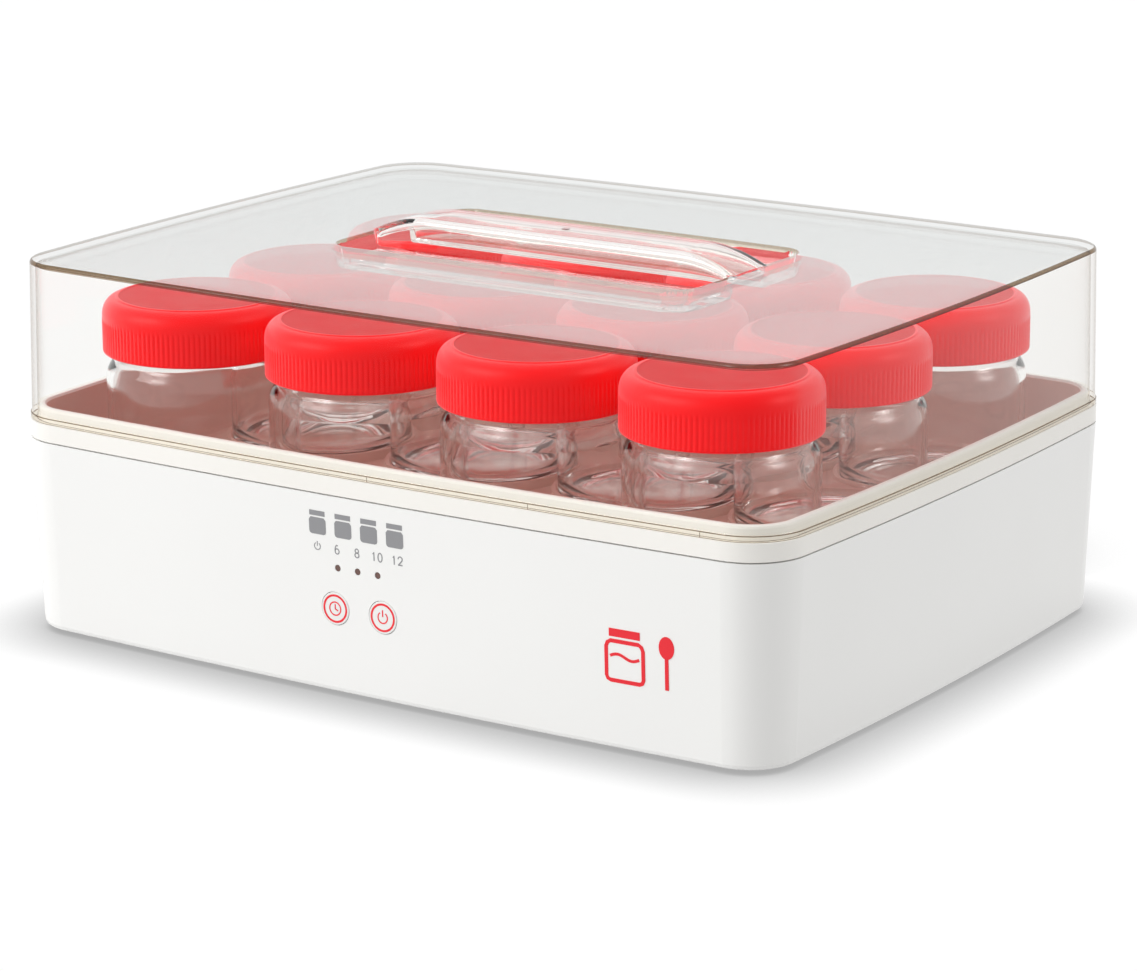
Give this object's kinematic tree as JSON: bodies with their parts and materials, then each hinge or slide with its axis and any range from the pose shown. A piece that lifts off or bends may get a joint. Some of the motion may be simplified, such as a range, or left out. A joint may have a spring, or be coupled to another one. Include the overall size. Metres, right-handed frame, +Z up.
{
  "type": "electric yogurt maker",
  "caption": "Countertop yogurt maker: a warmed tray of glass jars with screw caps under a clear lift-off lid, front push buttons and a mains cord.",
  "frame": {"origin": "on the table under the middle of the base, in the face of the centre support pad", "axes": "+Z up; -Y is the long front with the buttons; +X to the right along the front"},
  "size_m": [0.3484, 0.3506, 0.1553],
  "materials": {
    "casing_white": "satin moulded plastic",
    "base_white": "fine texture",
    "tray_taupe": "satin moulded plastic with a cream lip",
    "lid_clear": "clear moulded plastic",
    "jar_glass": "clear pressed glass",
    "cap_red": "satin red plastic",
    "button_white": "satin",
    "lens_smoke": "smoked clear plastic",
    "circuit_board": "solder mask",
    "chip_black": "moulded epoxy",
    "led_body": "tinted resin",
    "screw_steel": "zinc plated",
    "capacitor_yellow": "moulded box",
    "capacitor_can": "sleeved can",
    "terminal_green": "moulded",
    "spreader_aluminium": "mill finish",
    "heater_silicone": "silicone cover",
    "sensor_bead": "epoxy",
    "fuse_can": "plain",
    "foot_rubber": "matte",
    "cord_rubber": "matte",
    "pin_metal": "nickel plated",
    "clamp_white": "moulded",
    "wire_cover": "satin"
  },
  "bodies": {
    "base": {"outer_casing": "casing_white", "base_plate": "base_white", "top_tray": "tray_taupe", "indicator_lenses": "lens_smoke", "control_board": "circuit_board", "microcontroller": "chip_black", "tact_switches": "chip_black", "indicator_leds": "led_body", "control_board_screws": "screw_steel", "power_board": "circuit_board", "power_board_screws": "screw_steel", "power_relay": "chip_black", "film_capacitor": "capacitor_yellow", "filter_capacitor": "capacitor_can", "terminal_block": "terminal_green", "heat_spreader_plate": "spreader_aluminium", "heating_cord": "heater_silicone", "heater_strips": "screw_steel", "heater_screws": "screw_steel", "thermistor": "sensor_bead", "thermal_fuse": "fuse_can", "sensor_clips": "screw_steel", "case_screws_long": "screw_steel", "case_screws_short": "screw_steel", "rubber_feet": "foot_rubber", "cord_strain_relief": "cord_rubber", "power_cord": "cord_rubber", "power_plug": "cord_rubber", "plug_pins": "pin_metal", "cord_clamp": "clamp_white", "board_harness": "wire_cover", "heater_leads": "wire_cover"},
    "lid": {"lid": "lid_clear"},
    "body_jar_01": {"jar_01": "jar_glass"},
    "body_jar_02": {"jar_02": "jar_glass"},
    "body_jar_03": {"jar_03": "jar_glass"},
    "body_jar_04": {"jar_04": "jar_glass"},
    "body_jar_05": {"jar_05": "jar_glass"},
    "body_jar_06": {"jar_06": "jar_glass"},
    "body_jar_07": {"jar_07": "jar_glass"},
    "body_jar_08": {"jar_08": "jar_glass"},
    "body_jar_09": {"jar_09": "jar_glass"},
    "body_jar_10": {"jar_10": "jar_glass"},
    "body_jar_11": {"jar_11": "jar_glass"},
    "body_jar_12": {"jar_12": "jar_glass"},
    "body_jar_cap_01": {"jar_cap_01": "cap_red"},
    "body_jar_cap_02": {"jar_cap_02": "cap_red"},
    "body_jar_cap_03": {"jar_cap_03": "cap_red"},
    "body_jar_cap_04": {"jar_cap_04": "cap_red"},
    "body_jar_cap_05": {"jar_cap_05": "cap_red"},
    "body_jar_cap_06": {"jar_cap_06": "cap_red"},
    "body_jar_cap_07": {"jar_cap_07": "cap_red"},
    "body_jar_cap_08": {"jar_cap_08": "cap_red"},
    "body_jar_cap_09": {"jar_cap_09": "cap_red"},
    "body_jar_cap_10": {"jar_cap_10": "cap_red"},
    "body_jar_cap_11": {"jar_cap_11": "cap_red"},
    "body_jar_cap_12": {"jar_cap_12": "cap_red"},
    "time_button": {"time_button": "button_white"},
    "power_button": {"power_button": "button_white"}
  },
  "joints": [
    {"name": "lid_lift", "type": "slide", "parent": "base", "child": "lid", "axis": [0, 0, 1], "range_m": [0, 0.25]},
    {"name": "jar_01_lift", "type": "slide", "parent": "base", "child": "body_jar_01", "axis": [0, 0, 1], "range_m": [0, 0.0075]},
    {"name": "jar_cap_01_turn", "type": "hinge", "parent": "body_jar_01", "child": "body_jar_cap_01", "pos_m": [-0.11854, -0.07864, 0.12], "axis": [0, 0, 1], "range_deg": [0, 55]},
    {"name": "jar_02_lift", "type": "slide", "parent": "base", "child": "body_jar_02", "axis": [0, 0, 1], "range_m": [0, 0.0075]},
    {"name": "jar_cap_02_turn", "type": "hinge", "parent": "body_jar_02", "child": "body_jar_cap_02", "pos_m": [-0.03952, -0.07864, 0.12], "axis": [0, 0, 1], "range_deg": [0, 55]},
    {"name": "jar_03_lift", "type": "slide", "parent": "base", "child": "body_jar_03", "axis": [0, 0, 1], "range_m": [0, 0.0075]},
    {"name": "jar_cap_03_turn", "type": "hinge", "parent": "body_jar_03", "child": "body_jar_cap_03", "pos_m": [0.03952, -0.07864, 0.12], "axis": [0, 0, 1], "range_deg": [0, 55]},
    {"name": "jar_04_lift", "type": "slide", "parent": "base", "child": "body_jar_04", "axis": [0, 0, 1], "range_m": [0, 0.0075]},
    {"name": "jar_cap_04_turn", "type": "hinge", "parent": "body_jar_04", "child": "body_jar_cap_04", "pos_m": [0.11854, -0.07864, 0.12], "axis": [0, 0, 1], "range_deg": [0, 55]},
    {"name": "jar_05_lift", "type": "slide", "parent": "base", "child": "body_jar_05", "axis": [0, 0, 1], "range_m": [0, 0.0075]},
    {"name": "jar_cap_05_turn", "type": "hinge", "parent": "body_jar_05", "child": "body_jar_cap_05", "pos_m": [-0.11854, 0, 0.12], "axis": [0, 0, 1], "range_deg": [0, 55]},
    {"name": "jar_06_lift", "type": "slide", "parent": "base", "child": "body_jar_06", "axis": [0, 0, 1], "range_m": [0, 0.0075]},
    {"name": "jar_cap_06_turn", "type": "hinge", "parent": "body_jar_06", "child": "body_jar_cap_06", "pos_m": [-0.03952, 0, 0.12], "axis": [0, 0, 1], "range_deg": [0, 55]},
    {"name": "jar_07_lift", "type": "slide", "parent": "base", "child": "body_jar_07", "axis": [0, 0, 1], "range_m": [0, 0.0075]},
    {"name": "jar_cap_07_turn", "type": "hinge", "parent": "body_jar_07", "child": "body_jar_cap_07", "pos_m": [0.03952, 0, 0.12], "axis": [0, 0, 1], "range_deg": [0, 55]},
    {"name": "jar_08_lift", "type": "slide", "parent": "base", "child": "body_jar_08", "axis": [0, 0, 1], "range_m": [0, 0.0075]},
    {"name": "jar_cap_08_turn", "type": "hinge", "parent": "body_jar_08", "child": "body_jar_cap_08", "pos_m": [0.11854, 0, 0.12], "axis": [0, 0, 1], "range_deg": [0, 55]},
    {"name": "jar_09_lift", "type": "slide", "parent": "base", "child": "body_jar_09", "axis": [0, 0, 1], "range_m": [0, 0.0075]},
    {"name": "jar_cap_09_turn", "type": "hinge", "parent": "body_jar_09", "child": "body_jar_cap_09", "pos_m": [-0.11854, 0.07864, 0.12], "axis": [0, 0, 1], "range_deg": [0, 55]},
    {"name": "jar_10_lift", "type": "slide", "parent": "base", "child": "body_jar_10", "axis": [0, 0, 1], "range_m": [0, 0.0075]},
    {"name": "jar_cap_10_turn", "type": "hinge", "parent": "body_jar_10", "child": "body_jar_cap_10", "pos_m": [-0.03952, 0.07864, 0.12], "axis": [0, 0, 1], "range_deg": [0, 55]},
    {"name": "jar_11_lift", "type": "slide", "parent": "base", "child": "body_jar_11", "axis": [0, 0, 1], "range_m": [0, 0.0075]},
    {"name": "jar_cap_11_turn", "type": "hinge", "parent": "body_jar_11", "child": "body_jar_cap_11", "pos_m": [0.03952, 0.07864, 0.12], "axis": [0, 0, 1], "range_deg": [0, 55]},
    {"name": "jar_12_lift", "type": "slide", "parent": "base", "child": "body_jar_12", "axis": [0, 0, 1], "range_m": [0, 0.0075]},
    {"name": "jar_cap_12_turn", "type": "hinge", "parent": "body_jar_12", "child": "body_jar_cap_12", "pos_m": [0.11854, 0.07864, 0.12], "axis": [0, 0, 1], "range_deg": [0, 55]},
    {"name": "time_button_press", "type": "slide", "parent": "base", "child": "time_button", "axis": [0, 1, 0], "range_m": [0, 0.0008], "stiffness_N_per_m": 400},
    {"name": "power_button_press", "type": "slide", "parent": "base", "child": "power_button", "axis": [0, 1, 0], "range_m": [0, 0.0008], "stiffness_N_per_m": 400}
  ]
}
